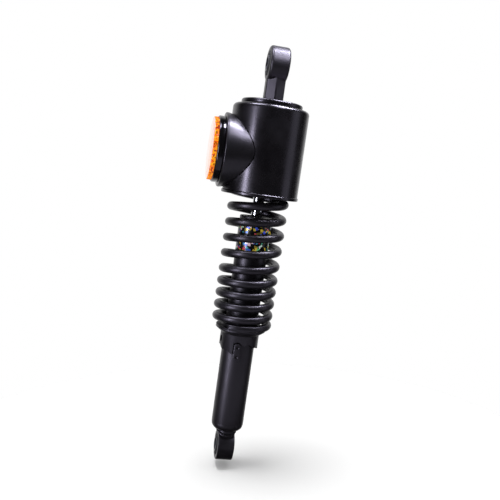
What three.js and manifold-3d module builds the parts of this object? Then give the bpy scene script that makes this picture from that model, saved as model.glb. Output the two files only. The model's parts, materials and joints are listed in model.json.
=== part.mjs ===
// Rear shock of a twin-shock motorcycle: spring, damper, shroud and side reflector.
// Millimetres, +Z up along the shock. Origin: centre of the lower eye's bore.
// Both eyes' bores run along X. The reflector looks towards -X.

import * as THREE from 'three';
import { mergeVertices } from 'three/addons/utils/BufferGeometryUtils.js';
import Module from 'manifold-3d';

const wasm = await Module();
wasm.setup();

// ---------------------------------------------------------------- driving dimensions, mm

const gap = 0.3; // between pieces that touch on the real unit
const roundSides = 48; // facets of a visible turned piece
const hiddenSides = 28; // facets of a turned piece inside another

const eyeToEye = 340;
const lowerEye = { radius: 13.5, halfWidth: 7.5, bore: 9.6, ease: 0.7, collar: 8 };
const upperEye = { radius: 15, halfWidth: 8.5, bore: 10.3, ease: 2 };
const sleeve = { radius: 7, bore: 5.1 };
const bushStandsOut = 0.5;
const sleeveStandsOut = 1;
const neckAcrossFlats = 16.5;

const rod = { radius: 5, tipRadius: 4, bottom: 163, shoulder: 182, top: 323.5 };
const tube = { radius: 14.3, bore: 12, bottom: 15.7, top: 205.8, fillet: 4.5, floor: 2.5 };
const cylinder = { radius: 10.4, bore: 9.2, bottom: 30, top: 193.5 };
const piston = { radius: 8.7, grooveRadius: 7.7, bottom: 172.3, top: 181.7, land: 2.2 };

const wire = 3.5; // radius of the spring's wire
const coilRadius = 23.1;
const coilTurns = 15;
const coilStartAngle = 238; // degrees from +X, where the wire's lower end is cut
const firstPitch = 5.6; // of the closed turn on the lower seat
const lowerPitch = 10.55;
const upperPitch = 13.75;
const lastPitch = 7.3; // of the closed turn under the upper seat
const groundDepth = 2; // ground off the wire where it lies flat on the lower seat

const seatTop = 111.4; // face that the last coil stands on
const seatRadius = 22.3;
const ringBore = 14.8; // of the seat and the cam ring, which slide on the tube
const cam = {
  radius: 17.1, top: 108.4, roof: 100.3, lowest: 85, lift: 2.1, step: 36, ridge: 1.5, flare: 3.2,
};
const firstNotch = 13.5; // degrees from the cam's wall to its first notch
const spanner = { angle: -170, radius: 2.9, height: 99 }; // first of two holes across the cam ring
const lugAngle = -100; // degrees from +X, where the front stop lug sits
const lug = { width: 5.6, bottom: 82.8, top: 98.6, thickness: 2 };

const shroud = { radius: 32.9, wall: 1.6, bottom: 227, top: 303.7, shoulder: 3.5 };
const shroudLip = { radius: 33.6, height: 2.6 };
const cap = { radius: 26.4, hub: 20, bottom: 304, top: 308.7 };

const reflectorHeight = 262.4;
const housing = { radius: 31.7, neckRadius: 31, wall: 1.6, front: 38.4 };
const holder = { radius: 28.3, wall: 1.2, floor: 1.5, front: 44.2 };
const lens = { radius: 26.8, back: 42, front: 48 };
const stud = { radius: 2.5, head: 5, end: 27.8 };

// ---------------------------------------------------------------- finishes

const finish = (color, roughness, metalness) => ({ color, roughness, metalness });
const blackPaint = finish(0x1b191d, 0.35, 0.3);
const blackPlastic = finish(0x151417, 0.25, 0);
const blackRubber = finish(0x121212, 0.8, 0);
const springPaint = finish(0x201e23, 0.4, 0.3);
const amber = finish(0xff8c12, 0.15, 0);
const chrome = finish(0xd8dade, 0.08, 1);
const zincSteel = finish(0xb4b6b8, 0.35, 1);
const darkSteel = finish(0x4a4a4e, 0.4, 1);
const castSteel = finish(0x77777a, 0.5, 1);
const bronze = finish(0x9a7440, 0.45, 1);

// ---------------------------------------------------------------- solids

const radians = (degrees) => THREE.MathUtils.degToRad(degrees);

// A geometry as a solid: only position kept, shared vertices merged, flat slivers dropped.
function solid(geometry) {
  geometry.deleteAttribute('normal');
  geometry.deleteAttribute('uv');
  const merged = mergeVertices(geometry, 1e-3);
  const vertProperties = new Float32Array(merged.attributes.position.array);
  const corners = merged.index.array;
  const kept = [];
  for (let i = 0; i < corners.length; i += 3) {
    const [a, b, c] = [corners[i], corners[i + 1], corners[i + 2]];
    if (a !== b && b !== c && c !== a) kept.push(a, b, c);
  }
  if (signedVolume(vertProperties, kept) < 0) kept.reverse();
  const triVerts = new Uint32Array(kept);
  return new wasm.Manifold(new wasm.Mesh({ numProp: 3, vertProperties, triVerts }));
}

function signedVolume(positions, corners) {
  const [a, b, c] = [new THREE.Vector3(), new THREE.Vector3(), new THREE.Vector3()];
  let volume = 0;
  for (let i = 0; i < corners.length; i += 3) {
    a.fromArray(positions, 3 * corners[i]);
    b.fromArray(positions, 3 * corners[i + 1]);
    c.fromArray(positions, 3 * corners[i + 2]);
    volume += a.dot(b.cross(c)) / 6;
  }
  return volume;
}

function piece(name, body, look) {
  const mesh = body.getMesh();
  const geometry = new THREE.BufferGeometry();
  geometry.setAttribute('position', new THREE.BufferAttribute(mesh.vertProperties, 3));
  geometry.setIndex(new THREE.BufferAttribute(mesh.triVerts, 1));
  geometry.computeVertexNormals();
  const part = new THREE.Mesh(geometry, new THREE.MeshStandardMaterial(look));
  part.name = name;
  return part;
}

// Turned about Z from [radius, height] points. A hollow profile closes on itself.
function turnedGeometry(profile, sides) {
  const points = profile.map(([radius, height]) => new THREE.Vector2(radius, height));
  return new THREE.LatheGeometry(points, sides).rotateX(Math.PI / 2);
}

function turned(profile, sides = roundSides) {
  return solid(turnedGeometry(profile, sides));
}

function hollowTurned(profile, sides = roundSides) {
  return turned([...profile, profile[0]], sides);
}

function sleeveOf(inner, outer, bottom, top, sides = roundSides) {
  return hollowTurned([[inner, bottom], [outer, bottom], [outer, top], [inner, top]], sides);
}

function discOf(radius, bottom, top, sides = roundSides) {
  return turned([[0, bottom], [radius, bottom], [radius, top], [0, top]], sides);
}

// A hexagonal bar along Z with two corners towards -Y and +Y.
function hexBar(acrossFlats, bottom, top) {
  const radius = acrossFlats / 2 / Math.cos(Math.PI / 6);
  const bar = new THREE.CylinderGeometry(radius, radius, top - bottom, 6).rotateX(Math.PI / 2);
  return solid(bar.translate(0, 0, (bottom + top) / 2));
}

// A cylinder along X at a height, for bores.
function crossBar(radius, from, to, height, sides = roundSides) {
  const bar = new THREE.CylinderGeometry(radius, radius, to - from, sides).rotateZ(Math.PI / 2);
  return solid(bar.translate((from + to) / 2, 0, height));
}

// Points of an arc, from one angle to another in degrees.
function arc(centreRadius, centreHeight, radius, from, to, steps = 4) {
  const points = [];
  for (let i = 0; i <= steps; i++) {
    const angle = radians(from + ((to - from) * i) / steps);
    points.push([centreRadius + radius * Math.cos(angle), centreHeight + radius * Math.sin(angle)]);
  }
  return points;
}

// ---------------------------------------------------------------- eyes

// Profile of an eye's ring about its own axis, with its rim's corners eased.
function eyeBlank({ radius, halfWidth, ease }) {
  return turnedGeometry([
    [0, -halfWidth], ...arc(radius - ease, ease - halfWidth, ease, -90, 0, 2),
    ...arc(radius - ease, halfWidth - ease, ease, 0, 90, 2), [0, halfWidth],
  ], roundSides).rotateY(Math.PI / 2);
}

function lowerEyePiece() {
  const collar = discOf(lowerEye.collar, lowerEye.bore, tube.bottom - gap);
  const body = solid(eyeBlank(lowerEye)).add(collar);
  const past = lowerEye.halfWidth + 1;
  const bore = crossBar(lowerEye.bore, -past, past, 0);
  return piece('lower_eye', body.subtract(bore), blackPaint);
}

function upperEyePiece() {
  const ring = solid(eyeBlank(upperEye).translate(0, 0, eyeToEye));
  const neck = hexBar(neckAcrossFlats, cap.top + gap, eyeToEye - upperEye.bore);
  const past = upperEye.halfWidth + 1;
  const bore = crossBar(upperEye.bore, -past, past, eyeToEye);
  const rodHole = discOf(rod.radius + gap, cap.top, rod.top + gap, hiddenSides);
  return piece('upper_eye', ring.add(neck).subtract(bore).subtract(rodHole), blackPaint);
}

// The rubber bush and the steel sleeve of one eye, turned about the bore.
function bushPieces(end, eye, height) {
  const outer = eye.bore - gap;
  const inner = sleeve.radius + gap;
  const bushHalf = eye.halfWidth + bushStandsOut;
  const sleeveHalf = eye.halfWidth + sleeveStandsOut;
  const ease = 0.8;
  const bush = hollowTurned([
    [inner, -bushHalf], [outer - ease, -bushHalf], [outer, -bushHalf + ease],
    [outer, bushHalf - ease], [outer - ease, bushHalf], [inner, bushHalf],
  ]);
  const tubeSleeve = sleeveOf(sleeve.bore, sleeve.radius, -sleeveHalf, sleeveHalf);
  const group = new THREE.Group();
  group.add(piece(`${end}_bush`, bush, blackRubber));
  group.add(piece(`${end}_sleeve`, tubeSleeve, darkSteel));
  group.rotation.y = Math.PI / 2;
  group.position.z = height;
  return group;
}

// ---------------------------------------------------------------- damper

function damperTube() {
  const { radius, bore, bottom, top, fillet, floor } = tube;
  const innerFillet = fillet - (radius - bore);
  return turned([
    [0, bottom], ...arc(radius - fillet, bottom + fillet, fillet, -90, 0),
    [radius, top], [bore, top],
    ...arc(bore - innerFillet, bottom + floor + innerFillet, innerFillet, 0, -90, 2),
    [0, bottom + floor],
  ]);
}

function damperPieces() {
  const guideFloor = cylinder.top + gap;
  const sealFloor = guideFloor + 8 + gap;
  const capFloor = tube.top + gap;
  const capTop = capFloor + 3.2;
  const hole = rod.radius + gap;
  const inside = tube.bore - gap;
  const valveFloor = tube.bottom + tube.floor + gap;
  const seal = hollowTurned([
    [hole, sealFloor], [inside, sealFloor], [inside, tube.top], [8, tube.top],
    [7, tube.top - 1.2], [hole, tube.top - 1.2],
  ], hiddenSides);
  const recess = capTop - 2; // floor of the cap's counterbore, in which the wiper sits
  const glandCap = hollowTurned([
    [hole, capFloor], [tube.radius, capFloor], [tube.radius, capTop - 1], [tube.radius - 1, capTop],
    [8 + gap, capTop], [8 + gap, recess], [hole, recess],
  ]);
  const wiper = hollowTurned([
    [hole, recess + gap], [8, recess + gap], [8, capTop], [6, capTop + 0.6], [hole, capTop + 0.6],
  ], hiddenSides);
  const valve = turned([
    [0, valveFloor], [7, valveFloor], [cylinder.bore, valveFloor + 3],
    [cylinder.bore, cylinder.bottom - gap], [0, cylinder.bottom - gap],
  ], hiddenSides);
  return [
    piece('damper_tube', damperTube(), blackPaint),
    piece('inner_cylinder',
      sleeveOf(cylinder.bore, cylinder.radius, cylinder.bottom, cylinder.top, hiddenSides), castSteel),
    piece('base_valve', valve, castSteel),
    piece('rod_guide', sleeveOf(hole, inside, guideFloor, sealFloor - gap, hiddenSides), bronze),
    piece('oil_seal', seal, blackRubber),
    piece('gland_cap', glandCap, blackPaint),
    piece('dust_wiper', wiper, blackRubber),
  ];
}

// ---------------------------------------------------------------- rod and piston

function rodPiece() {
  const ease = 1;
  return piece('rod', turned([
    [0, rod.bottom], [rod.tipRadius, rod.bottom], [rod.tipRadius, rod.shoulder],
    [rod.radius, rod.shoulder], [rod.radius, rod.top - ease], [rod.radius - ease, rod.top],
    [0, rod.top],
  ]), chrome);
}

function pistonPieces() {
  const hole = rod.tipRadius + gap;
  const grooveFloor = piston.bottom + piston.land;
  const grooveRoof = piston.top - piston.land;
  const body = hollowTurned([
    [hole, piston.bottom], [piston.radius, piston.bottom], [piston.radius, grooveFloor],
    [piston.grooveRadius, grooveFloor], [piston.grooveRadius, grooveRoof],
    [piston.radius, grooveRoof], [piston.radius, piston.top], [hole, piston.top],
  ], hiddenSides);
  const band = sleeveOf(piston.grooveRadius + gap, cylinder.bore - gap,
    grooveFloor + gap, grooveRoof - gap, hiddenSides);
  const nutHeight = 7;
  const nutTop = piston.bottom - gap;
  const nut = hexBar(12, nutTop - nutHeight, nutTop)
    .subtract(discOf(hole, nutTop - nutHeight - 1, nutTop + 1, hiddenSides));
  const stop = sleeveOf(rod.radius + gap, 8, rod.shoulder + gap, cylinder.top - gap, hiddenSides);
  return [
    piece('piston', body, castSteel),
    piece('piston_ring', band, bronze),
    piece('piston_nut', nut, zincSteel),
    piece('rebound_stop', stop, zincSteel),
  ];
}

// ---------------------------------------------------------------- spring

// Pitch of the coil at a number of turns above its lower end: closed at both ends, tight below
// and open above.
function pitchAt(turn) {
  const { smoothstep } = THREE.MathUtils;
  const opening = (lowerPitch - firstPitch) * smoothstep(turn, 0.55, 0.85);
  const widening = (upperPitch - lowerPitch) * smoothstep(turn, 4.15, 5.25);
  const closing = (lastPitch - upperPitch) * smoothstep(turn, coilTurns - 1.4, coilTurns - 0.9);
  return firstPitch + opening + widening + closing;
}

function coilPoints() {
  const stepsPerTurn = 14;
  const points = [];
  let height = seatTop + gap + wire - groundDepth;
  for (let i = 0; i <= coilTurns * stepsPerTurn; i++) {
    const turn = i / stepsPerTurn;
    const angle = radians(coilStartAngle + 360 * turn);
    points.push(new THREE.Vector3(coilRadius * Math.cos(angle), coilRadius * Math.sin(angle), height));
    height += pitchAt(turn + 0.5 / stepsPerTurn) / stepsPerTurn;
  }
  return points;
}

function springPiece(points) {
  const sides = 8;
  const corners = [];
  for (let i = 0; i < sides; i++) {
    const angle = (2 * Math.PI * i) / sides;
    corners.push(new THREE.Vector2(wire * Math.cos(angle), wire * Math.sin(angle)));
  }
  const section = new THREE.Shape(corners);
  const path = new THREE.CatmullRomCurve3(points);
  path.arcLengthDivisions = 10 * points.length;
  const coil = new THREE.ExtrudeGeometry(section, { extrudePath: path, steps: points.length - 1 });
  const ground = discOf(2 * coilRadius, seatTop - wire, seatTop + gap);
  return piece('spring', solid(coil).subtract(ground), springPaint);
}

// ---------------------------------------------------------------- preload adjuster

// Depth of the cam's edge below its first roof, at an angle from the wall: a ramp with a ridge
// between each two notches. There are two ramps of half a turn each.
function camDrop(fromWall) {
  const pastNotch = (fromWall - firstNotch) / cam.step;
  const ramp = cam.lift * Math.max(0, pastNotch);
  return ramp + cam.ridge * Math.sin(Math.PI * pastNotch) ** 2;
}

function camRing() {
  const sides = 80;
  const facet = 360 / sides;
  const flareRadius = seatRadius - 1.8;
  const geometry = turnedGeometry([
    [ringBore, cam.lowest], [cam.radius, cam.lowest], [cam.radius, cam.top - cam.flare],
    [flareRadius, cam.top - 0.8], [flareRadius, cam.top], [ringBore, cam.top],
    [ringBore, cam.lowest],
  ], sides);
  const position = geometry.attributes.position;
  for (let i = 0; i < position.count; i++) {
    if (position.getZ(i) > cam.lowest + gap) continue;
    const angle = THREE.MathUtils.radToDeg(Math.atan2(position.getX(i), -position.getY(i)));
    const fromWall = (Math.round(angle / facet) * facet + 360) % 180;
    position.setZ(i, cam.roof - camDrop(fromWall));
  }
  const turn = lugAngle + 90 - firstNotch;
  const holes = new THREE.CylinderGeometry(spanner.radius, spanner.radius, 3 * cam.radius, hiddenSides)
    .rotateZ(radians(90 + spanner.angle - turn)).translate(0, 0, spanner.height);
  const ring = piece('cam_ring', solid(geometry).subtract(solid(holes)), blackPaint);
  ring.rotation.z = radians(turn);
  return ring;
}

// An obround plate that hugs the tube, with two weld dimples.
function stopLug(name, angle) {
  const half = lug.width / 2;
  const [low, high] = [lug.bottom + half, lug.top - half];
  const outline = new THREE.Shape();
  outline.absarc(0, high, half, 0, Math.PI);
  outline.absarc(0, low, half, Math.PI, 2 * Math.PI);
  const plate = new THREE.ExtrudeGeometry(outline, { depth: 10, bevelEnabled: false, curveSegments: 8 });
  plate.rotateX(Math.PI / 2).translate(0, -tube.radius + 3, 0);
  const inner = tube.radius + gap;
  const outer = inner + lug.thickness;
  let body = solid(plate).intersect(sleeveOf(inner, outer, lug.bottom - 1, lug.top + 1, 60));
  for (const height of [low, high]) {
    const dimple = new THREE.CylinderGeometry(1.2, 1.2, 2, 12).translate(0, -outer - 0.4, height);
    body = body.subtract(solid(dimple));
  }
  const plateOnTube = piece(name, body, blackPaint);
  plateOnTube.rotation.z = radians(angle + 90);
  return plateOnTube;
}

function lowerSeat() {
  const thick = 2.7;
  const ease = 1.2;
  const spigot = { radius: 17.2, height: 2.2 };
  return piece('lower_spring_seat', hollowTurned([
    [ringBore, seatTop - thick], [seatRadius - ease, seatTop - thick],
    [seatRadius, seatTop - thick + ease], [seatRadius, seatTop], [spigot.radius, seatTop],
    [spigot.radius, seatTop + spigot.height], [ringBore, seatTop + spigot.height],
  ]), blackPaint);
}

// ---------------------------------------------------------------- top end

function shroudPiece() {
  const { radius, wall, bottom, top, shoulder } = shroud;
  const lipTop = bottom + shroudLip.height;
  const innerShoulder = shoulder - wall;
  const centre = [radius - shoulder, top - shoulder];
  const shell = hollowTurned([
    [radius - wall, bottom], [shroudLip.radius, bottom], [shroudLip.radius, lipTop], [radius, lipTop],
    ...arc(...centre, shoulder, 0, 90), [6, top], [6, top - wall],
    ...arc(...centre, innerShoulder, 90, 0, 2),
  ], 48);
  const studHole = crossBar(stud.radius + gap, -radius - 2, wall + 2 - radius, reflectorHeight, 16);
  return piece('shroud', shell.subtract(studHole), blackPaint);
}

function topCap() {
  const { radius, hub, bottom, top } = cap;
  const step = 0.6;
  const ease = 1.3;
  return piece('top_cap', hollowTurned([
    [rod.radius + gap, bottom], ...arc(radius - ease, bottom + ease, ease, -90, 0, 2),
    ...arc(radius - ease, top - step - ease, ease, 0, 90, 2), [hub, top - step],
    [hub - step, top], [rod.radius + gap, top],
  ]), blackPaint);
}

function upperSeat(springTop) {
  const roof = shroud.top - shroud.wall - gap;
  const spigot = { inner: 17, outer: coilRadius - wire - 0.7, height: 6 };
  return piece('upper_spring_seat', hollowTurned([
    [rod.radius + 1, roof], [27, roof], [27, springTop], [spigot.outer, springTop],
    [spigot.outer, springTop - spigot.height], [spigot.inner, springTop - spigot.height],
    [spigot.inner, springTop], [rod.radius + 1, springTop],
  ].reverse(), hiddenSides), zincSteel);
}

function rodFittings(springTop) {
  const hole = rod.radius + gap;
  const nutTop = springTop - gap;
  const nutBottom = nutTop - 7;
  const nut = hexBar(17, nutBottom, nutTop).subtract(discOf(hole, nutBottom - 1, nutTop + 1, hiddenSides));
  const top = nutBottom - gap;
  const buffer = hollowTurned([
    [hole, top], [11, top], [11, top - 9], [9.6, top - 11], [11, top - 13], [10.6, top - 20],
    [8, top - 28], [hole, top - 28],
  ], hiddenSides);
  return [piece('rod_lock_nut', nut, zincSteel), piece('bump_stop', buffer, blackRubber)];
}

// ---------------------------------------------------------------- reflector

// A round cup whose rear edge is cut to fit the shroud, closed in front but for the stud's hole.
function housingPiece() {
  const { radius, neckRadius, wall, front } = housing;
  const back = 4;
  const cup = hollowTurned([
    [neckRadius - wall, back], [neckRadius, back], [radius, front - 2], [radius - 0.6, front],
    [stud.radius + gap, front], [stud.radius + gap, front - wall], [neckRadius - wall, front - wall],
  ], 48);
  const saddle = new THREE.CylinderGeometry(shroud.radius + gap, shroud.radius + gap, 90, 48);
  return piece('reflector_housing', cup.subtract(solid(saddle.rotateZ(Math.PI / 2))), blackPlastic);
}

function holderPiece() {
  const back = housing.front + gap;
  const { radius, wall, floor, front } = holder;
  return piece('reflector_base', hollowTurned([
    [stud.radius + gap, back], [radius, back], [radius, front - 0.8], [radius - 0.8, front],
    [radius - wall, front], [radius - wall, back + floor], [stud.radius + gap, back + floor],
  ]), blackPlastic);
}

function lensPiece() {
  const { radius, back, front } = lens;
  return piece('reflector_lens', turned([
    [0, back], [radius, back], [radius, front - 1], [radius - 1, front], [0, front],
  ]), amber);
}

function studPieces() {
  const headBack = housing.front + gap + holder.floor + gap;
  const headFront = lens.back - gap;
  const bolt = turned([
    [0, stud.end], [stud.radius, stud.end], [stud.radius, headBack], [stud.head, headBack],
    [stud.head, headFront], [0, headFront],
  ], 16);
  const nutFront = shroud.radius - shroud.wall - gap;
  const nutBack = stud.end + 0.3;
  const hole = discOf(stud.radius + gap, nutBack - 1, nutFront + 1, 16);
  const nut = hexBar(8, nutBack, nutFront - 0.3).subtract(hole);
  return [piece('reflector_stud', bolt, zincSteel), piece('reflector_nut', nut, zincSteel)];
}

// The reflector's pieces are turned about their own +Z, which the group points towards -X.
function reflector() {
  const group = new THREE.Group();
  group.add(housingPiece(), holderPiece(), lensPiece(), ...studPieces());
  group.rotation.y = -Math.PI / 2;
  group.position.z = reflectorHeight;
  return group;
}

// ---------------------------------------------------------------- assembly

const coil = coilPoints();
const springTop = coil.at(-1).z + wire + gap;

const shock = new THREE.Group();
shock.add(lowerEyePiece(), upperEyePiece());
shock.add(bushPieces('lower', lowerEye, 0), bushPieces('upper', upperEye, eyeToEye));
shock.add(...damperPieces(), rodPiece(), ...pistonPieces());
shock.add(springPiece(coil), lowerSeat(), camRing());
shock.add(stopLug('front_stop_lug', lugAngle), stopLug('rear_stop_lug', lugAngle + 180));
shock.add(shroudPiece(), topCap(), upperSeat(springTop), ...rodFittings(springTop));
shock.add(reflector());

export default shock;
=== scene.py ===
"""Rear shock of a twin-shock motorcycle: spring, damper, shroud and side reflector.

The frame is the CAD's: +Z runs up the shock, the origin is the centre of the lower eye, and the
reflector faces -X. Shapes are worked out in millimetres, and only the lights are in metres.
"""

import json
import math

import bmesh
import bpy
from mathutils import Matrix, Vector

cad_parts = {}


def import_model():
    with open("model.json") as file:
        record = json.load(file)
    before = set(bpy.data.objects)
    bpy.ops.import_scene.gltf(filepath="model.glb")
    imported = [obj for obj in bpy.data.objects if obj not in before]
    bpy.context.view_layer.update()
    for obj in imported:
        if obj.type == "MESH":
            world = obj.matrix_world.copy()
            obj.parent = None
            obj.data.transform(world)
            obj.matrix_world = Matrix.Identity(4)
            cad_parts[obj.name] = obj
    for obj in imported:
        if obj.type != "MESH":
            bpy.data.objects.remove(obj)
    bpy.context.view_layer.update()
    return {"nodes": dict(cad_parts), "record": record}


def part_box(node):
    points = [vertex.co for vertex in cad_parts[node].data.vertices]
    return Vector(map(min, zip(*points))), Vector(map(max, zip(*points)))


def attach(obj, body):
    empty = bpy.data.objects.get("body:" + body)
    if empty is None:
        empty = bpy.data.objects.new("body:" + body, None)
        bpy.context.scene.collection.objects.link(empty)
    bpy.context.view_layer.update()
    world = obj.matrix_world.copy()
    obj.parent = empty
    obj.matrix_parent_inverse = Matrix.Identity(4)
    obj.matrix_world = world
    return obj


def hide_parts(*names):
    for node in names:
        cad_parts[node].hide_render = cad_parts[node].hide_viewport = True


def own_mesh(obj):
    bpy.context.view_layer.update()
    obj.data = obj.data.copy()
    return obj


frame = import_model()

# ---------------------------------------------------------------- measures, mm

MM = 0.001
ROUND = 128  # facets of a large turned piece
SMALL_ROUND = 64  # facets of a small one
GAP = 0.3  # between a piece and its neighbour, as in the CAD


def span(node, axis="z"):
    """Lowest and highest value of a CAD node along one axis, in mm."""
    low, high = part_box(node)
    i = "xyz".index(axis)
    return low[i] / MM, high[i] / MM


def radius_of(node):
    """Radius of a CAD node that is turned about Z, in mm."""
    return span(node, "y")[1]


TUBE_RADIUS, TUBE_BORE = radius_of("damper_tube"), 12
TUBE_BOTTOM, TUBE_TOP = span("damper_tube")
GLAND_BOTTOM, GLAND_TOP = span("gland_cap")
WIPER_RADIUS = 8
WIPER_BOTTOM, WIPER_TOP = span("dust_wiper")
WIPER_RECESS = 2  # depth of the gland cap's counterbore, in which the wiper sits
DECAL_BOTTOM, DECAL_TOP = 178, 203

ROD_RADIUS, ROD_TIP_RADIUS = radius_of("rod"), 4
ROD_BOTTOM, ROD_TOP = span("rod")
ROD_SHOULDER = 182  # where the rod steps down to the tip that holds the piston
ROD_HOLE = ROD_RADIUS + GAP  # in the pieces that the rod goes through

SEAT_BOTTOM, SEAT_STEP_TOP = span("lower_spring_seat")
SEAT_RADIUS = radius_of("lower_spring_seat")
SEAT_TOP = SEAT_BOTTOM + 2.7  # face that the lowest coil stands on
SEAT_STEP_RADIUS = 17.2
RING_BORE = TUBE_RADIUS + 0.5  # of the seat and the cam ring, which slide on the tube

WIRE = 3.5  # radius of the spring's wire
COIL_RADIUS = 23.1
COIL_TURNS = 15
COIL_START = 238  # degrees from +X, where the wire's lower end is cut
COIL_BOTTOM, COIL_TOP = span("spring")
FIRST_PITCH, LOWER_PITCH, UPPER_PITCH, LAST_PITCH = 5.6, 10.55, 13.75, 7.3
OPENING = (0.55, 0.85)  # turns between which the first pitch goes over to the lower one
WIDENING = (4.15, 5.25)  # and the lower pitch to the upper one
CLOSING = (COIL_TURNS - 1.4, COIL_TURNS - 0.9)  # and the upper pitch to the last one
COIL_SPLIT_TURN = 3.59  # the turns below it yield to preload, those above it to the stroke

CAM_RADIUS = 17.1
CAM_TOP = span("cam_ring")[1]
CAM_ROOF = 99.9  # height of the cam's edge at its first notch
CAM_LIFT, CAM_STEP = 2.1, 36  # mm and degrees from one notch to the next
CAM_RIDGE = 2  # depth of the ridge between two notches
CAM_WALL = 0.4  # degrees that the wall takes from the last notch back to the first
FIRST_NOTCH = 13.5  # degrees from the cam's wall to its first notch
SPANNER_ANGLE, SPANNER_RADIUS, SPANNER_HEIGHT = -170, 2.9, 99

LUG_ANGLE = -100  # degrees from +X, where the front stop lug sits
LUG_WIDTH, LUG_THICKNESS, LUG_EASE = 5.6, 2.3, 0.5
LUG_BOTTOM, LUG_TOP = span("front_stop_lug")
DIMPLE_OFFSET, DIMPLE_RADIUS, DIMPLE_DEPTH = 4.3, 0.95, 1.1

LIP_RADIUS, LIP_HEIGHT = radius_of("shroud"), 2.6
SHROUD_RADIUS, SHROUD_WALL, SHROUD_SHOULDER = 32.9, 1.6, 3.5
SHROUD_BOTTOM, SHROUD_TOP = span("shroud")
SHROUD_HOLE = 6  # in its top, for the rod
CAP_RADIUS = radius_of("top_cap")
CAP_BOTTOM, CAP_TOP = span("top_cap")
HUB_RADIUS, HUB_HEIGHT = 20, 0.6  # of the raised middle of the cap
BUFFER_BOTTOM, BUFFER_TOP = span("bump_stop")

LOWER_EYE = {"height": 0, "radius": 13.5, "half": 7.5, "bore": 9.6}
UPPER_EYE = {"height": 340, "radius": 15, "half": 8.5, "bore": 10.3}
COLLAR_RADIUS, COLLAR_ROOT = 8, 10.6  # of the collar on the lower eye, and where it starts
NECK_ACROSS_FLATS = 16.5
NECK_CORNER = 1.115  # radius at the neck's turned-off corners, as a share of that at its flats
SLEEVE_RADIUS, SLEEVE_BORE = 7, 5.1
BUSH_STANDS_OUT, SLEEVE_STANDS_OUT = 0.5, 1  # from the eye's face

REFLECTOR_HEIGHT = sum(span("reflector_lens")) / 2
HOUSING_RADIUS, HOUSING_NECK, HOUSING_WALL = 31.7, 31, 1.6
HOUSING_FRONT = -span("reflector_housing", "x")[0]
HOLDER_RADIUS, HOLDER_WALL, HOLDER_FLOOR, HOLDER_FRONT = 28.3, 1.2, 1.5, 44.2
STUD_HOLE = 2.8
LENS_RADIUS = 26.8
LENS_BACK, LENS_FRONT = [-x for x in reversed(span("reflector_lens", "x"))]
RIBS, RIB_DEPTH = 90, 0.35  # of the ribs round the lens's edge

ALONG_X = Matrix.Rotation(math.pi / 2, 4, "Y")
REFLECTOR_PLACE = Matrix.Translation((0, 0, REFLECTOR_HEIGHT)) @ Matrix.Rotation(-math.pi / 2, 4, "Y")

# ---------------------------------------------------------------- mesh helpers


def make_object(name, points, faces, place=Matrix.Identity(4)):
    """A smooth-shaded object from points in mm, set in place by a matrix whose shift is in mm."""
    mesh = bpy.data.meshes.new(name)
    mesh.from_pydata([(place @ Vector(p)) * MM for p in points], [], faces)
    mesh.validate()
    obj = bpy.data.objects.new(name, mesh)
    bpy.context.scene.collection.objects.link(obj)
    shade(obj)
    return obj


def shade(obj, sharp=40):
    """Smooth shading, apart from edges sharper than an angle in degrees."""
    obj.data.shade_smooth()
    obj.data.set_sharp_from_angle(angle=math.radians(sharp))


def eased(profile, steps=5):
    """Rounds the corners of a profile, whose entries are (radius, height) or (radius, height,
    ease). The ease is the radius of that corner's arc, and steps is the facets in it."""
    corners = [Vector(p[:2]) for p in profile]
    rounded = []
    for i, entry in enumerate(profile):
        ease = entry[2] if len(entry) > 2 else 0
        here = corners[i]
        before = corners[i - 1] - here
        after = corners[(i + 1) % len(corners)] - here
        if not ease:
            rounded.append(tuple(here))
            continue
        half = before.angle(after) / 2
        reach = ease / math.tan(half)
        start = here + before.normalized() * reach
        end = here + after.normalized() * reach
        centre = here + (before.normalized() + after.normalized()).normalized() * ease / math.sin(half)
        from_centre = start - centre
        swing = from_centre.angle_signed(end - centre)
        for k in range(steps + 1):
            turn = Matrix.Rotation(-swing * k / steps, 2)
            rounded.append(tuple(centre + turn @ from_centre))
    return rounded


def turned_around(name, section, angles, place=Matrix.Identity(4), closed=False):
    """Turns a section about Z. section(angle) gives its (radius, height) points at an angle in
    degrees, as many at every angle. A closed section is a hollow piece; an open one starts and
    ends on the axis."""
    points, faces = [], []
    for angle in angles:
        turn = math.radians(angle)
        for radius, height in section(angle):
            points.append((radius * math.cos(turn), radius * math.sin(turn), height))
    rows = len(points) // len(angles)
    for i in range(len(angles)):
        here, there = i * rows, (i + 1) % len(angles) * rows
        for k in range(rows if closed else rows - 1):
            up = (k + 1) % rows
            faces.append((here + k, there + k, there + up, here + up))
    obj = make_object(name, points, faces, place)
    if not closed:
        weld(obj)
    return obj


def weld(obj, distance=0.002):
    """Merges points that lie within a distance in mm and drops what has no area left."""
    work = bmesh.new()
    work.from_mesh(obj.data)
    bmesh.ops.remove_doubles(work, verts=work.verts, dist=distance * MM)
    bmesh.ops.dissolve_degenerate(work, edges=work.edges, dist=distance * MM / 10)
    bmesh.ops.recalc_face_normals(work, faces=work.faces)
    work.to_mesh(obj.data)
    work.free()
    shade(obj)


def turned(name, profile, segments=ROUND, place=Matrix.Identity(4), closed=False):
    """Turns one profile, its corners eased, all the way about Z."""
    points = eased(profile)
    angles = [360 * i / segments for i in range(segments)]
    return turned_around(name, lambda angle: points, angles, place, closed)


def hollow(name, profile, segments=ROUND, place=Matrix.Identity(4)):
    """A turned piece whose profile closes on itself clear of the axis."""
    return turned(name, profile, segments, place, closed=True)


def apply_modifiers(obj):
    """Makes what the modifiers give the object's own mesh."""
    depsgraph = bpy.context.evaluated_depsgraph_get()
    mesh = bpy.data.meshes.new_from_object(obj.evaluated_get(depsgraph))
    obj.modifiers.clear()
    obj.data = mesh
    obj.data.name = obj.name


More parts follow.
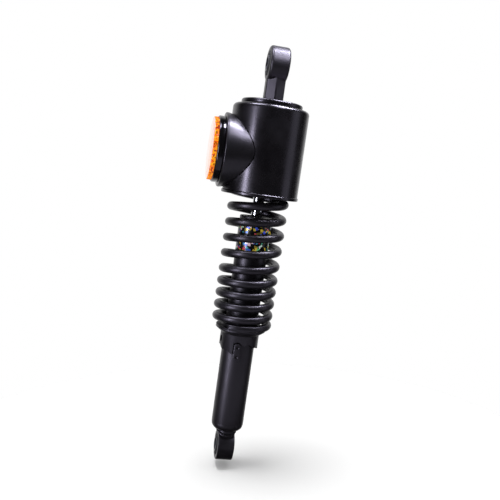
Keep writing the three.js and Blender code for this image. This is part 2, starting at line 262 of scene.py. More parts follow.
def fuse(name, parts, smoothing, voxel=0.3):
    """Joins closed parts into one forged-looking body whose inner corners are filled."""
    points, faces = [], []
    for part in parts:
        first = len(points)
        points += [v.co / MM for v in part.data.vertices]
        faces += [tuple(first + v for v in p.vertices) for p in part.data.polygons]
        bpy.data.objects.remove(part)
    obj = make_object(name, points, faces)
    remesh = obj.modifiers.new("remesh", "REMESH")
    remesh.mode = "VOXEL"
    remesh.voxel_size = voxel * MM
    remesh.use_smooth_shade = True
    smooth = obj.modifiers.new("smooth", "SMOOTH")
    smooth.factor = 0.5
    smooth.iterations = smoothing
    apply_modifiers(obj)
    obj.data.shade_smooth()
    return obj


def cut(obj, tool):
    """Cuts the tool out of the object and deletes the tool."""
    boolean = obj.modifiers.new("cut", "BOOLEAN")
    boolean.operation = "DIFFERENCE"
    boolean.solver = "EXACT"
    boolean.object = tool
    apply_modifiers(obj)
    bpy.data.objects.remove(tool)
    shade(obj)


def smoothstep(low, high, value):
    """Rises from 0 at low to 1 at high, level at both ends."""
    t = min(1, max(0, (value - low) / (high - low)))
    return t * t * (3 - 2 * t)


# ---------------------------------------------------------------- materials

PURPLISH = (0.93, 0.86, 1.0, 1)  # cast of what the black paints reflect


class Finish:
    """A node material around one Principled shader, in object coordinates."""

    def __init__(self, name, color, roughness, metallic=0, **sockets):
        self.material = bpy.data.materials.new(name)
        self.material.use_nodes = True
        self.nodes = self.material.node_tree.nodes
        self.links = self.material.node_tree.links
        self.shader = self.nodes["Principled BSDF"]
        self.set("Base Color", (*color, 1))
        self.set("Roughness", roughness)
        self.set("Metallic", metallic)
        for socket, value in sockets.items():
            self.set(socket.replace("_", " ").title().replace("Ior", "IOR"), value)
        self.coordinates = self.nodes.new("ShaderNodeTexCoord").outputs["Object"]
        self.normal = None

    def set(self, socket, value):
        """Gives a socket of the shader one value all over."""
        self.shader.inputs[socket].default_value = value

    def noise(self, size, detail=3, roughness=0.5, stretch=(1, 1, 1)):
        """Noise whose grains are about size mm across, drawn out along an axis by stretch."""
        mapping = self.nodes.new("ShaderNodeMapping")
        mapping.inputs["Scale"].default_value = [1 / s for s in stretch]
        self.links.new(self.coordinates, mapping.inputs["Vector"])
        noise = self.nodes.new("ShaderNodeTexNoise")
        noise.inputs["Scale"].default_value = 1 / (size * MM)
        noise.inputs["Detail"].default_value = detail
        noise.inputs["Roughness"].default_value = roughness
        self.links.new(mapping.outputs["Vector"], noise.inputs["Vector"])
        return noise.outputs["Fac"]

    def cells(self, size, randomness=1):
        """Cells about size mm across. Returns a random value per cell and the distance in it."""
        cells = self.nodes.new("ShaderNodeTexVoronoi")
        cells.inputs["Scale"].default_value = 1 / (size * MM)
        cells.inputs["Randomness"].default_value = randomness
        self.links.new(self.coordinates, cells.inputs["Vector"])
        return cells.outputs["Color"], cells.outputs["Distance"]

    def ramp(self, value, stops):
        """Maps a value through (position, value or colour) stops. A new ramp has two already."""
        ramp = self.nodes.new("ShaderNodeValToRGB")
        elements = ramp.color_ramp.elements
        for i, (position, color) in enumerate(stops):
            element = elements[i] if i < 2 else elements.new(position)
            element.position = position
            element.color = (*color, 1) if isinstance(color, tuple) else (color, color, color, 1)
        self.links.new(value, ramp.inputs["Fac"])
        return ramp.outputs["Color"]

    def share_of_height(self, bottom, top):
        """0 at one height in mm and 1 at another."""
        axes = self.nodes.new("ShaderNodeSeparateXYZ")
        self.links.new(self.coordinates, axes.inputs["Vector"])
        share = self.nodes.new("ShaderNodeMapRange")
        share.inputs["From Min"].default_value = bottom * MM
        share.inputs["From Max"].default_value = top * MM
        self.links.new(axes.outputs["Z"], share.inputs["Value"])
        return share.outputs["Result"]

    def masked(self, color, mask):
        """The colour where the mask is 1, and black where it is 0."""
        mix = self.nodes.new("ShaderNodeMix")
        mix.data_type = "RGBA"
        mix.blend_type = "MULTIPLY"
        mix.inputs["Factor"].default_value = 1
        first, second = mix.inputs[6:8]  # the colour sockets, which share their names with others
        self.links.new(mask, first)
        self.links.new(color, second)
        return mix.outputs[2]

    def bump(self, height, depth):
        """Adds relief of a depth in mm."""
        bump = self.nodes.new("ShaderNodeBump")
        bump.inputs["Distance"].default_value = depth * MM
        self.links.new(height, bump.inputs["Height"])
        if self.normal:
            self.links.new(self.normal, bump.inputs["Normal"])
        self.normal = bump.outputs["Normal"]
        self.links.new(self.normal, self.shader.inputs["Normal"])

    def drive(self, socket, value):
        """Lets a node's output vary a socket of the shader."""
        self.links.new(value, self.shader.inputs[socket])


def painted(name, color, gloss, peel):
    """Sprayed black paint: orange peel, a little unevenness in its gloss, and stray dust."""
    finish = Finish(name, color, gloss, specular_tint=PURPLISH)
    finish.bump(finish.noise(1.6, detail=2), peel)
    finish.bump(finish.noise(0.35, detail=1), peel / 4)
    uneven = finish.noise(22, detail=4, roughness=0.6)
    finish.drive("Roughness", finish.ramp(uneven, [(0.3, gloss - 0.05), (0.7, gloss + 0.06)]))
    dusty = tuple(c * 1.6 for c in color)
    dust = finish.noise(9, detail=5)
    finish.drive("Base Color", finish.ramp(dust, [(0.35, color), (0.75, dusty)]))
    return finish.material


def powder_coated():
    """Powder coat of the spring: duller than the paint, with a finely pebbled skin."""
    finish = Finish("spring_powder_coat", (0.0045, 0.0038, 0.0050), 0.38, specular_tint=PURPLISH)
    finish.bump(finish.noise(0.7, detail=3), 0.03)
    finish.drive("Roughness", finish.ramp(finish.noise(5, detail=4), [(0.3, 0.32), (0.7, 0.44)]))
    return finish.material


def moulded_plastic(name, gloss):
    """Black plastic with the faint waves and clouded gloss of a moulding."""
    finish = Finish(name, (0.0040, 0.0036, 0.0042), gloss, specular_tint=PURPLISH)
    finish.bump(finish.noise(4, detail=2), 0.02)
    cloud = finish.noise(14, detail=4)
    finish.drive("Roughness", finish.ramp(cloud, [(0.3, gloss * 0.85), (0.7, gloss * 1.2)]))
    return finish.material


def rubber():
    """Dull rubber with a fine grain and a pale bloom."""
    finish = Finish("black_rubber", (0.012, 0.012, 0.012), 0.75)
    finish.bump(finish.noise(0.4, detail=4, roughness=0.7), 0.04)
    bloom = finish.noise(6, detail=5, roughness=0.65)
    dusty = [(0.35, (0.009, 0.009, 0.009)), (0.75, (0.022, 0.021, 0.021))]
    finish.drive("Base Color", finish.ramp(bloom, dusty))
    finish.drive("Roughness", finish.ramp(bloom, [(0.3, 0.65), (0.7, 0.85)]))
    return finish.material


def metal(name, color, gloss, grain, stretch, depth):
    """Bare metal with a directional grain left by machining or plating, and a little tarnish."""
    finish = Finish(name, color, gloss, metallic=1)
    lines = finish.noise(grain, detail=3, stretch=stretch)
    finish.bump(lines, depth)
    cloud = finish.noise(8, detail=4, roughness=0.6)
    tarnished = tuple(c * 0.85 for c in color)
    finish.drive("Base Color", finish.ramp(cloud, [(0.35, tarnished), (0.65, color)]))
    finish.drive("Roughness", finish.ramp(lines, [(0.3, gloss * 0.75), (0.7, min(1, gloss * 1.3))]))
    return finish.material


def amber():
    """Clear-coated amber plastic over a prismatic back: bright cells, a few of them dark red. The cells
    also glow with their own colour, a painted glow that stands in for light thrown back by the prisms.
    """
    finish = Finish("amber_prismatic_lens", (1.0, 0.3, 0.0), 0.2, specular_ior_level=0.2,
                    coat_weight=1.0, coat_roughness=0.02)
    shade_of_cell, from_centre = finish.cells(1.1, randomness=0.35)
    tint = finish.ramp(shade_of_cell, [
        (0.18, (0.10, 0.006, 0.0)), (0.34, (0.75, 0.05, 0.0)), (0.50, (1.0, 0.20, 0.0)),
        (0.75, (1.0, 0.42, 0.0)),
    ])
    finish.drive("Base Color", tint)
    # painted glow: the cells' colour is given off as light, though the lens is no lamp
    finish.drive("Emission Color", tint)
    finish.set("Emission Strength", 0.3)
    finish.bump(from_centre, 0.08)
    return finish.material


def foil():
    """Black decal with two bands of holographic foil, broken into small patches of colour. The patches
    also glow with their own colour, a painted glow that stands in for the light the foil throws back.
    """
    finish = Finish("decal_foil", (0.5, 0.5, 0.5), 0.25, metallic=0.2)
    black, silver = (0.003, 0.003, 0.003), (0.85, 0.85, 0.90)
    blue, green = (0.04, 0.08, 0.60), (0.05, 0.45, 0.12)
    red, gold = (0.65, 0.04, 0.08), (0.60, 0.45, 0.05)
    hue, _ = finish.cells(2.0)
    patches = finish.ramp(hue, [
        (0.36, black), (0.40, blue), (0.45, green), (0.49, silver), (0.53, red), (0.57, black),
        (0.74, black), (0.84, gold),
    ])
    bands = finish.ramp(finish.share_of_height(DECAL_BOTTOM, DECAL_TOP), [
        (0.06, 0.0), (0.10, 1.0), (0.42, 1.0), (0.46, 0.0), (0.66, 0.0), (0.70, 1.0), (0.90, 1.0),
        (0.94, 0.0),
    ])
    foil_colour_and_painted_glow = finish.masked(patches, bands)
    finish.drive("Base Color", foil_colour_and_painted_glow)
    # painted glow: the foil's colours are given off as light, though the decal is no lamp
    finish.drive("Emission Color", foil_colour_and_painted_glow)
    finish.set("Emission Strength", 0.35)
    return finish.material


BLACK_PAINT = painted("satin_black_paint", (0.0040, 0.0034, 0.0042), 0.40, 0.010)
SHROUD_PAINT = painted("gloss_black_paint", (0.0030, 0.0026, 0.0032), 0.27, 0.002)
SPRING_PAINT = powder_coated()
BLACK_PLASTIC = moulded_plastic("satin_black_plastic", 0.33)
GLOSS_PLASTIC = moulded_plastic("gloss_black_plastic", 0.1)
RUBBER = rubber()
AMBER = amber()
CHROME = metal("hard_chrome", (0.55, 0.56, 0.58), 0.10, 0.5, (8, 8, 1), 0.003)
ZINC = metal("zinc_plate", (0.52, 0.53, 0.55), 0.34, 0.6, (1, 8, 8), 0.01)
DARK_STEEL = metal("phosphated_steel", (0.07, 0.07, 0.08), 0.4, 0.6, (1, 8, 8), 0.01)
STEEL = metal("machined_steel", (0.33, 0.33, 0.34), 0.42, 0.5, (8, 8, 1), 0.015)
BRONZE = metal("sintered_bronze", (0.45, 0.30, 0.12), 0.45, 0.4, (1, 1, 1), 0.02)
FOIL = foil()

SLOT_MATERIALS = {
    "black_paint": BLACK_PAINT, "shroud_paint": SHROUD_PAINT, "spring_paint": SPRING_PAINT,
    "black_plastic": BLACK_PLASTIC, "amber_lens": AMBER, "rubber": RUBBER, "chrome": CHROME,
    "zinc_steel": ZINC, "dark_steel": DARK_STEEL, "bare_steel": STEEL, "bronze": BRONZE,
}


def finish_piece(obj, body, slot, *nodes, material=None):
    """Gives a piece the material of its slot, rides it on a body and lets it stand for CAD nodes."""
    obj.data.materials.clear()
    obj.data.materials.append(material or SLOT_MATERIALS[slot])
    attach(obj, body)
    if nodes:
        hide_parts(*nodes)
    return obj


# ---------------------------------------------------------------- damper


def damper_tube():
    """The outer tube, with a floor and a fine crimp line round its foot."""
    floor = TUBE_BOTTOM + 2.5
    crimp = TUBE_BOTTOM + 7
    return turned("tube_shell", [
        (0, TUBE_BOTTOM), (TUBE_RADIUS - 0.1, TUBE_BOTTOM, 5.5), (TUBE_RADIUS - 0.1, crimp - 0.2, 0.1),
        (TUBE_RADIUS - 0.3, crimp, 0.1), (TUBE_RADIUS, crimp + 0.2, 0.1),
        (TUBE_RADIUS, TUBE_TOP, 0.4), (TUBE_BORE, TUBE_TOP, 0.2), (TUBE_BORE, floor, 2), (0, floor),
    ])


def gland_cap():
    """The cap on the tube, with a counterbore for the wiper."""
    recess = GLAND_TOP - WIPER_RECESS
    recess_radius = WIPER_RADIUS + GAP
    return hollow("gland_cap_shell", [
        (ROD_HOLE, GLAND_BOTTOM), (TUBE_RADIUS, GLAND_BOTTOM, 0.3), (TUBE_RADIUS, GLAND_TOP, 0.9),
        (recess_radius, GLAND_TOP, 0.3), (recess_radius, recess, 0.1), (ROD_HOLE, recess, 0.1),
    ])


def dust_wiper():
    """The rubber lip round the rod, sloped outwards."""
    return hollow("wiper_lip", [
        (ROD_HOLE, WIPER_BOTTOM), (WIPER_RADIUS, WIPER_BOTTOM, 0.2),
        (WIPER_RADIUS, WIPER_TOP - 0.6, 0.4), (6, WIPER_TOP, 0.3), (ROD_HOLE, WIPER_TOP, 0.1),
    ], SMALL_ROUND)


def piston_rod():
    """The rod, turned down at its foot for the piston."""
    return turned("chromed_rod", [
        (0, ROD_BOTTOM), (ROD_TIP_RADIUS, ROD_BOTTOM, 0.4), (ROD_TIP_RADIUS, ROD_SHOULDER, 0.2),
        (ROD_RADIUS, ROD_SHOULDER, 0.3), (ROD_RADIUS, ROD_TOP, 0.8), (0, ROD_TOP),
    ], SMALL_ROUND)


def decal():
    """A foil 0.1 mm thick, just clear of the tube."""
    inner, outer = TUBE_RADIUS + 0.02, TUBE_RADIUS + 0.12
    return hollow("tube_decal", [
        (inner, DECAL_BOTTOM), (outer, DECAL_BOTTOM, 0.04), (outer, DECAL_TOP, 0.04),
        (inner, DECAL_TOP),
    ])


# ---------------------------------------------------------------- eyes


def place_of(eye):
    """Turns a piece made about Z into the eye's bore, which runs along X."""
    return Matrix.Translation((0, 0, eye["height"])) @ ALONG_X


def eye_ring(eye, ease):
    """The ring of an eye, with eased outer edges."""
    radius, half, bore = eye["radius"], eye["half"], eye["bore"]
    return hollow("ring", [
        (bore, -half, 0.5), (radius, -half, ease), (radius, half, ease), (bore, half, 0.5),
    ], 160, place_of(eye))


def weld_bead():
    """A rippled bead where the lower eye's collar meets its ring."""
    facets, ripples = 12, 26

    def section(angle):
        ripple = 0.18 * math.sin(math.radians(angle * ripples))
        across = COLLAR_RADIUS * math.sin(math.radians(angle))
        rim = math.sqrt(LOWER_EYE["radius"] ** 2 - across**2)
        radius, height = COLLAR_RADIUS + ripple, rim + 0.4
        turns = [2 * math.pi * k / facets for k in range(facets)]
        return [(radius + 1.3 * math.cos(t), height + 1.1 * math.sin(t)) for t in turns]

    return turned_around("bead", section, [2 * i for i in range(180)], closed=True)


def lower_mount():
    """The lower eye, the collar under the tube and the weld between the two."""
    ring = eye_ring(LOWER_EYE, 0.8)
    top = TUBE_BOTTOM - GAP
    collar = turned("collar", [
        (0, COLLAR_ROOT), (COLLAR_RADIUS, COLLAR_ROOT), (COLLAR_RADIUS, top, 0.6), (0, top),
    ], SMALL_ROUND)
    return fuse("lower_mount_eye", [ring, collar, weld_bead()], smoothing=3)


def upper_mount():
    """The upper eye and its hexagonal neck, which is bored for the rod."""
    ring = eye_ring(UPPER_EYE, 2.4)
    bottom, top = CAP_TOP + GAP, UPPER_EYE["height"] - UPPER_EYE["bore"] - 1
    hole_top = ROD_TOP + GAP
    ease = 0.5

    def section(angle):
        from_flat = (angle + 30) % 60 - 30
        radius = NECK_ACROSS_FLATS / 2 / math.cos(math.radians(from_flat))
        radius = min(radius, NECK_ACROSS_FLATS / 2 * NECK_CORNER)
        return [(0, hole_top), (ROD_HOLE, hole_top), (ROD_HOLE, bottom), (radius - ease, bottom),
                (radius, bottom + ease), (radius, top), (0, top)]

    neck = turned_around("neck", section, [2 * i for i in range(180)])
    return fuse("upper_mount_eye", [ring, neck], smoothing=4)


def rubber_bush(end, eye):
    """The bush in an eye, with slightly domed ends."""
    inner, outer = SLEEVE_RADIUS + GAP, eye["bore"] - GAP
    half = eye["half"] + BUSH_STANDS_OUT
    inner_half = half - 0.5
    return hollow(f"{end}_rubber_bush", [
        (inner, -inner_half, 0.1), (inner + 0.8, -half, 0.5), (outer, -half, 0.9),
        (outer, half, 0.9), (inner + 0.8, half, 0.5), (inner, inner_half, 0.1),
    ], 96, place_of(eye))


def steel_sleeve(end, eye):
    """The sleeve that the bolt goes through."""
    half, ease = eye["half"] + SLEEVE_STANDS_OUT, 0.35
    return hollow(f"{end}_steel_sleeve", [
        (SLEEVE_BORE, -half, ease), (SLEEVE_RADIUS, -half, ease),
        (SLEEVE_RADIUS, half, ease), (SLEEVE_BORE, half, ease),
    ], 96, place_of(eye))


# ---------------------------------------------------------------- spring


def pitch_at(turn):
    """Pitch of the coil, in mm, a number of turns from its lower end."""
    opening = (LOWER_PITCH - FIRST_PITCH) * smoothstep(*OPENING, turn)
    widening = (UPPER_PITCH - LOWER_PITCH) * smoothstep(*WIDENING, turn)
    closing = (LAST_PITCH - UPPER_PITCH) * smoothstep(*CLOSING, turn)
    return FIRST_PITCH + opening + widening + closing


def coil_heights(steps_per_turn):
    """Height of the wire's centre at each step along the coil."""
    count = round(COIL_TURNS * steps_per_turn)
    heights = [0.0]
    for i in range(count):
        heights.append(heights[-1] + pitch_at((i + 0.5) / steps_per_turn) / steps_per_turn)
    rise = COIL_TOP - WIRE - heights[-1]
    return [h + rise for h in heights]


def coil_piece(name, heights, first, last, steps_per_turn):
    """The wire from one step to another, its lower side ground flat where it meets the seat."""
    sides = 24
    points, faces = [], []
    for i in range(first, last + 1):
        angle = math.radians(COIL_START + 360 * i / steps_per_turn)
        radial = Vector((math.cos(angle), math.sin(angle), 0))
        slope = pitch_at(i / steps_per_turn) / (2 * math.pi * COIL_RADIUS)
        along = Vector((-math.sin(angle), math.cos(angle), slope)).normalized()
        up = radial.cross(along)
        centre = radial * COIL_RADIUS + Vector((0, 0, heights[i]))
        for k in range(sides):
            around = 2 * math.pi * k / sides
            point = centre + (radial * math.cos(around) + up * math.sin(around)) * WIRE
            point.z = max(point.z, COIL_BOTTOM)
            points.append(point)
    last_ring = (last - first) * sides
    for ring in range(0, last_ring, sides):
        for k in range(sides):
            a, b = ring + k, ring + (k + 1) % sides
            faces.append((a, a + sides, b + sides, b))
    faces.append(tuple(range(sides)))
    faces.append(tuple(last_ring + k for k in reversed(range(sides))))
    return make_object(name, points, faces)


def spring():
    """The spring as two pieces, because preload and stroke shorten different turns of it."""
    steps = 72
    heights = coil_heights(steps)
    split = round(COIL_SPLIT_TURN * steps)
    lower = coil_piece("lower_coils", heights, 0, split, steps)
    upper = coil_piece("upper_coils", heights, split, len(heights) - 1, steps)
    finish_piece(lower, "damper", "spring_paint", "spring")
    finish_piece(upper, "damper", "spring_paint", "spring")
    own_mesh(lower)
    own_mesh(upper)


# ---------------------------------------------------------------- preload adjuster


def lower_seat():
    """The seat's flange, with a groove round its edge, and the step inside the lowest coil."""
    rim = SEAT_RADIUS - 0.5
    return hollow("spring_seat_flange", [
        (RING_BORE, SEAT_BOTTOM, 0.2), (rim, SEAT_BOTTOM, 0.4),
        (SEAT_RADIUS, SEAT_BOTTOM + 0.5, 0.4), (SEAT_RADIUS - 0.3, SEAT_BOTTOM + 1.2, 0.5),
        (SEAT_RADIUS, SEAT_TOP - 0.5, 0.3), (SEAT_RADIUS - 0.4, SEAT_TOP, 0.3),
        (SEAT_STEP_RADIUS, SEAT_TOP, 0.3), (SEAT_STEP_RADIUS, SEAT_STEP_TOP, 0.5),
        (RING_BORE, SEAT_STEP_TOP, 0.3),
    ])


def cam_edge(from_wall):
    """Height of the cam's lower edge at an angle from one of its two walls."""
    past_notch = (from_wall - FIRST_NOTCH) / CAM_STEP
    ramp = CAM_LIFT * max(0, past_notch)
    return CAM_ROOF - ramp - CAM_RIDGE * math.sin(math.pi * past_notch) ** 2


def spanner_drill():
    """The tool that drills the two spanner holes, right across the ring."""
    place = Matrix.Translation((0, 0, SPANNER_HEIGHT))
    place @= Matrix.Rotation(math.radians(SPANNER_ANGLE), 4, "Z") @ ALONG_X
    return turned("drill", [
        (0, -30), (SPANNER_RADIUS, -30), (SPANNER_RADIUS, 30), (0, 30),
    ], 48, place)


def cam_ring():
    """The preload ring: two stepped ramps round its lower edge, a flare under the seat."""
    wall = LUG_ANGLE - FIRST_NOTCH
    flare = SEAT_RADIUS - 1.8
    angles = sorted([wall + a for a in range(0, 360, 2)] + [wall - CAM_WALL, wall + 180 - CAM_WALL])

    def section(angle):
        edge = cam_edge((angle - wall) % 180)
        return [
            (RING_BORE, edge + 0.3), (RING_BORE + 0.3, edge), (CAM_RADIUS - 0.4, edge),
            (CAM_RADIUS - 0.1, edge + 0.12), (CAM_RADIUS, edge + 0.4),
            (CAM_RADIUS, CAM_TOP - 3.4), (CAM_RADIUS + 0.2, CAM_TOP - 2.9), (flare - 0.3, CAM_TOP - 0.9),
            (flare, CAM_TOP - 0.5), (flare - 0.3, CAM_TOP), (RING_BORE, CAM_TOP),
        ]

    ring = turned_around("preload_cam", section, angles, closed=True)
    cut(ring, spanner_drill())
    return ring


def lug_spine(share):
    """A point of the lug's middle line and the direction outwards, at a share of the way round."""
    angle = 2 * math.pi * share
    reach = (LUG_TOP - LUG_BOTTOM) / 2 - LUG_WIDTH / 2
    slide = reach * max(-1, min(1, 3 * math.cos(angle)))
    return Vector((0, slide)), Vector((math.sin(angle), math.cos(angle)))


def lug_thickness(flat, inset):
    """Thickness of the lug at a point that lies an inset from its rounded edge. It has two dimples."""
    edge = math.sqrt(LUG_EASE**2 - max(0, LUG_EASE - inset) ** 2)
    to_dimple = min((flat - Vector((0, end * DIMPLE_OFFSET))).length for end in (-1, 1))
    dimple = DIMPLE_DEPTH * math.exp(-((to_dimple / DIMPLE_RADIUS) ** 4))
    return LUG_THICKNESS - LUG_EASE + edge - dimple


def stop_lug(name, angle):
    """An obround plate welded on the tube and curved to it. Rings of points run from its foot,
    up its edge and over its face to the spine, and the back is closed on the tube."""
    around, rings = 96, 12
    half, middle = LUG_WIDTH / 2, (LUG_TOP + LUG_BOTTOM) / 2
    inner, turn = TUBE_RADIUS + 0.02, math.radians(angle)
    points, faces = [], []

    def add_point(flat, lift):
        swing = turn + flat.x / inner
        radius = inner + lift
        points.append((radius * math.cos(swing), radius * math.sin(swing), middle + flat.y))

    for i in range(around):
        spine, out = lug_spine(i / around)
        add_point(spine + out * half, 0)
    for ring in range(rings + 1):
        inwards = ring / rings
        for i in range(around):
            spine, out = lug_spine(i / around)
            flat = spine + out * half * (1 - inwards)
            add_point(flat, lug_thickness(flat, half * inwards))
    back = len(points)
    for i in range(around):
        add_point(lug_spine(i / around)[0], 0)
    for ring in range(0, back - around, around):
        for i in range(around):
            a, b = ring + i, ring + (i + 1) % around
            faces.append((a, b, b + around, a + around))
    for i in range(around):
        j = (i + 1) % around
        faces.append((i, back + i, back + j, j))
    obj = make_object(name, points, faces)
    weld(obj, 0.01)
    return obj


# ---------------------------------------------------------------- top end


def shroud():
    """The can over the upper coils: a lip round its mouth and a rounded shoulder."""
    lip_top = SHROUD_BOTTOM + LIP_HEIGHT
    inside = SHROUD_RADIUS - SHROUD_WALL
    ceiling = SHROUD_TOP - SHROUD_WALL
    return hollow("shroud_can", [
        (inside, SHROUD_BOTTOM, 0.5), (LIP_RADIUS, SHROUD_BOTTOM, 0.8), (LIP_RADIUS, lip_top, 0.7),
        (SHROUD_RADIUS, lip_top + 0.2, 0.5), (SHROUD_RADIUS, SHROUD_TOP, SHROUD_SHOULDER),
        (SHROUD_HOLE, SHROUD_TOP, 0.2), (SHROUD_HOLE, ceiling, 0.2),
        (inside, ceiling, SHROUD_SHOULDER - SHROUD_WALL),
    ], 192)


def top_cap():
    """The cap plate under the neck, a little raised in the middle."""
    plate = CAP_TOP - HUB_HEIGHT
    return hollow("neck_cap", [
        (ROD_HOLE, CAP_BOTTOM), (CAP_RADIUS, CAP_BOTTOM, 1.3), (CAP_RADIUS, plate, 1.5),
        (HUB_RADIUS, plate, 0.2), (HUB_RADIUS - HUB_HEIGHT, CAP_TOP, 0.3), (ROD_HOLE, CAP_TOP, 0.2),
    ])


def bump_stop():
    """The rubber buffer round the rod under the top end, with a waist and a tapered foot."""
    waist = BUFFER_TOP - 11
    buffer = hollow("rubber_buffer", [
        (ROD_HOLE, BUFFER_BOTTOM, 0.2), (8, BUFFER_BOTTOM, 1.2), (10.6, BUFFER_TOP - 20, 2),
        (11, waist - 2, 1), (9.6, waist, 1), (11, waist + 2, 1), (11, BUFFER_TOP, 1),
        (ROD_HOLE, BUFFER_TOP),
    ], SMALL_ROUND)
    finish_piece(buffer, "top_half", "rubber", "bump_stop")
    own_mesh(buffer)


# ---------------------------------------------------------------- reflector


def saddle(radius, angle):
    """Distance from the shock's axis at which the reflector's can meets the shroud."""
    across = radius * math.sin(math.radians(angle))
    return math.sqrt((SHROUD_RADIUS + GAP) ** 2 - across**2)


def reflector_housing():
    """The can on the shroud's side, its back saddled on the shroud."""
    inside = HOUSING_NECK - HOUSING_WALL
    ceiling = HOUSING_FRONT - HOUSING_WALL

    def section(angle):
        return eased([
            (inside, saddle(inside, angle)), (HOUSING_NECK, saddle(HOUSING_NECK, angle), 0.7),
            (HOUSING_RADIUS, HOUSING_FRONT - 2.2, 0.3), (HOUSING_RADIUS, HOUSING_FRONT, 0.9),
            (STUD_HOLE, HOUSING_FRONT), (STUD_HOLE, ceiling), (inside, ceiling, 1),
        ])

    angles = [360 * i / 256 for i in range(256)]
    return turned_around("reflector_can", section, angles, REFLECTOR_PLACE, closed=True)


def reflector_bezel():
    """The glossy cup that holds the lens."""
    back = HOUSING_FRONT + GAP
    floor = back + HOLDER_FLOOR
    inside = HOLDER_RADIUS - HOLDER_WALL
    return hollow("reflector_bezel", [
        (STUD_HOLE, back), (HOLDER_RADIUS, back, 0.5), (HOLDER_RADIUS, HOLDER_FRONT, 1.3),
        (inside, HOLDER_FRONT, 0.3), (inside, floor, 0.3), (STUD_HOLE, floor),
    ], 160, REFLECTOR_PLACE)


def reflector_lens():
    """The lens, with fine ribs round its edge."""

    def section(angle):
        tooth = abs((angle * RIBS / 360) % 1 * 2 - 1)
        radius = LENS_RADIUS - RIB_DEPTH * tooth
        return eased([
            (0, LENS_BACK), (radius, LENS_BACK, 0.2), (radius, LENS_FRONT, 0.8), (0, LENS_FRONT),
        ])

    angles = [360 * i / (RIBS * 4) for i in range(RIBS * 4)]
    return turned_around("amber_lens_disc", section, angles, REFLECTOR_PLACE)


# ---------------------------------------------------------------- the shock


def build_shock():
    """Makes each piece and rides it on its body."""
    finish_piece(damper_tube(), "damper", "black_paint", "damper_tube")
    finish_piece(gland_cap(), "damper", "black_paint", "gland_cap")
    finish_piece(dust_wiper(), "damper", "rubber", "dust_wiper")
    finish_piece(decal(), "damper", "black_paint", material=FOIL)
    finish_piece(piston_rod(), "top_half", "chrome", "rod")
    finish_piece(lower_mount(), "damper", "black_paint", "lower_eye")
    finish_piece(upper_mount(), "top_half", "black_paint", "upper_eye")
    for end, eye, body in (("lower", LOWER_EYE, "damper"), ("upper", UPPER_EYE, "top_half")):
        finish_piece(rubber_bush(end, eye), body, "rubber", f"{end}_bush")
        finish_piece(steel_sleeve(end, eye), f"{end}_bolt_sleeve", "dark_steel", f"{end}_sleeve")
    spring()
    finish_piece(lower_seat(), "spring_seat", "black_paint", "lower_spring_seat")
    finish_piece(cam_ring(), "preload_ring", "black_paint", "cam_ring")
    for end, angle in (("front", LUG_ANGLE), ("rear", LUG_ANGLE + 180)):
        finish_piece(stop_lug(f"{end}_lug", angle), "damper", "black_paint", f"{end}_stop_lug")
    finish_piece(shroud(), "top_half", "shroud_paint", "shroud")
    finish_piece(top_cap(), "top_half", "shroud_paint", "top_cap")
    bump_stop()
    finish_piece(reflector_housing(), "top_half", "black_plastic", "reflector_housing")
    finish_piece(reflector_bezel(), "top_half", "black_plastic", "reflector_base",
                 material=GLOSS_PLASTIC)
    finish_piece(reflector_lens(), "top_half", "amber_lens", "reflector_lens")


def finish_cad_nodes():
    """Gives each CAD node the material of its slot. The nodes that no piece replaces show it."""
    for row in frame["record"]["subparts"]:
        obj = frame["nodes"][row["node"]]
        for material_slot in obj.material_slots:
            material_slot.material = SLOT_MATERIALS[row["material_slot"]]


# ---------------------------------------------------------------- stage, lights and camera

LEAN = 8.043  # degrees by which the shock leans to the right of upright
VIEW_AZIMUTH, VIEW_DIP = 9.5632, 6.583  # degrees that the camera looks to the right and down
VIEW = Matrix.Rotation(math.radians(-VIEW_AZIMUTH), 3, "Z") @ Vector((
    0, math.cos(math.radians(VIEW_DIP)), -math.sin(math.radians(VIEW_DIP)),
))
VIEW_CENTRE = Vector((-1.389, 0, 179.404))  # the point that the camera looks at
VIEW_DISTANCE = 577.184  # from it to the camera
UPRIGHT = Matrix.Rotation(math.radians(-LEAN), 4, Vector((VIEW.x, VIEW.y, 0)))  # of the room


def floor():
    """A round white table under the shock, bright enough to merge with the white behind it."""
    radius, below, corners = 320, 19, 96
    turns = [2 * math.pi * i / corners for i in range(corners)]
    points = [(radius * math.cos(t), radius * math.sin(t), -below) for t in turns]
    obj = make_object("floor", points, [tuple(range(corners))], UPRIGHT)
    finish = Finish("pale_floor", (0.8, 0.8, 0.8), 0.9, specular_ior_level=0.0)
    obj.data.materials.append(finish.material)
    obj.visible_glossy = False


def soft_box(name, place, aim, size, radiance):
    """A soft box that only shows as a reflection. Place, aim and size are in metres."""
    light = bpy.data.lights.new(name, "AREA")
    light.shape = "RECTANGLE"
    light.size, light.size_y = size
    light.energy = radiance * math.pi * size[0] * size[1]
    light.color = (0.86, 0.87, 1.0)
    obj = bpy.data.objects.new(name, light)
    obj.location = place
    obj.rotation_euler = (Vector(place) - Vector(aim)).to_track_quat("Z", "Y").to_euler()
    obj.visible_diffuse = False
    obj.visible_camera = False
    bpy.context.scene.collection.objects.link(obj)


def overhead_sun():
    """Soft light from almost straight above, which casts the shadow on the floor."""
    light = bpy.data.lights.new("overhead", "SUN")
    light.energy = 1.8
    light.angle = math.radians(21)
    obj = bpy.data.objects.new("overhead", light)
    obj.matrix_world = UPRIGHT @ Matrix.Rotation(math.radians(-3), 4, "Y")
    obj.visible_glossy = False
    bpy.context.scene.collection.objects.link(obj)


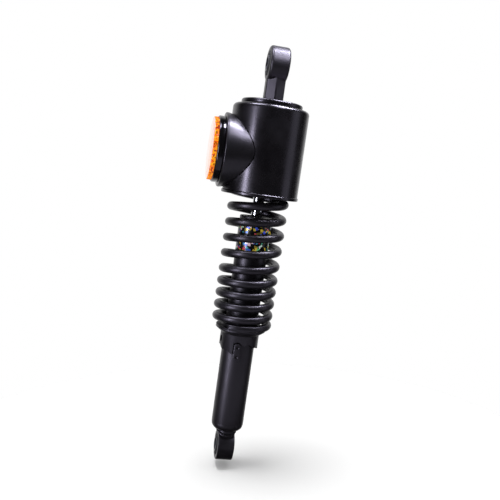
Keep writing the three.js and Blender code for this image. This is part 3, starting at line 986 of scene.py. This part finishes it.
def world():
    """White to the camera, even light on matt surfaces, and in reflections a dark studio with a
    white back wall."""
    studio = bpy.data.worlds.new("studio")
    bpy.context.scene.world = studio
    studio.use_nodes = True
    nodes, links = studio.node_tree.nodes, studio.node_tree.links
    nodes.clear()
    rays = nodes.new("ShaderNodeLightPath")

    def background(strength):
        shader = nodes.new("ShaderNodeBackground")
        shader.inputs["Color"].default_value = (1, 1, 1, 1)
        shader.inputs["Strength"].default_value = strength
        return shader

    def back_wall():
        """White towards +Y, fading to the near black of the other walls."""
        shader = background(1.0)
        direction = nodes.new("ShaderNodeTexCoord")
        axes = nodes.new("ShaderNodeSeparateXYZ")
        fade = nodes.new("ShaderNodeMapRange")
        fade.interpolation_type = "SMOOTHSTEP"
        for socket, value in (("From Min", 0.45), ("From Max", 0.8), ("To Min", 0.015), ("To Max", 1.0)):
            fade.inputs[socket].default_value = value
        links.new(direction.outputs["Generated"], axes.inputs["Vector"])
        links.new(axes.outputs["Y"], fade.inputs["Value"])
        links.new(fade.outputs["Result"], shader.inputs["Strength"])
        return shader

    def choose(ray, otherwise, chosen):
        mix = nodes.new("ShaderNodeMixShader")
        links.new(rays.outputs[ray], mix.inputs["Fac"])
        links.new(otherwise.outputs[0], mix.inputs[1])
        links.new(chosen.outputs[0], mix.inputs[2])
        return mix

    seen = choose("Is Glossy Ray", otherwise=background(0.8), chosen=back_wall())
    seen = choose("Is Camera Ray", otherwise=seen, chosen=background(1.0))
    output = nodes.new("ShaderNodeOutputWorld")
    links.new(seen.outputs[0], output.inputs["Surface"])


def lights():
    """The overhead lamp, and a soft box for each group of highlights."""
    overhead_sun()
    soft_box("left_strip", (-0.75, -0.49, 0.13), (0, 0, 0.13), (0.13, 0.68), 30)
    soft_box("right_fill", (1.04, -0.34, 0.30), (0, 0, 0.2), (0.5, 0.9), 0.8)
    soft_box("top_strip", (0.20, -0.04, 0.72), (0.20, -0.04, 0), (0.36, 0.12), 72)
    soft_box("top_left", (-0.24, -0.04, 0.72), (-0.24, -0.04, 0), (0.24, 0.12), 45)
    soft_box("eye_light", (0.05, -0.118, 0.454), (0, -0.012, 0.349), (0.06, 0.07), 30)
    soft_box("table_glow", (0, -0.30, -0.012), (0, -0.30, 1), (0.6, 0.45), 0.5)


def camera():
    """A little left of the front, looking slightly down, rolled so that the shock leans right."""
    data = bpy.data.cameras.new("camera")
    data.sensor_width = 36
    data.lens = 47.29
    obj = bpy.data.objects.new("camera", data)
    bpy.context.scene.collection.objects.link(obj)
    level = VIEW.cross(Vector((0, 0, 1))).normalized()
    upright = level.cross(VIEW)
    roll = math.radians(LEAN)
    right = level * math.cos(roll) + upright * math.sin(roll)
    up = upright * math.cos(roll) - level * math.sin(roll)
    obj.matrix_world = Matrix((right, up, -VIEW)).transposed().to_4x4()
    obj.location = (VIEW_CENTRE - VIEW * VIEW_DISTANCE) * MM
    bpy.context.scene.camera = obj


build_shock()
finish_cad_nodes()
floor()
world()
lights()
camera()
bpy.context.scene.view_settings.view_transform = "Standard"
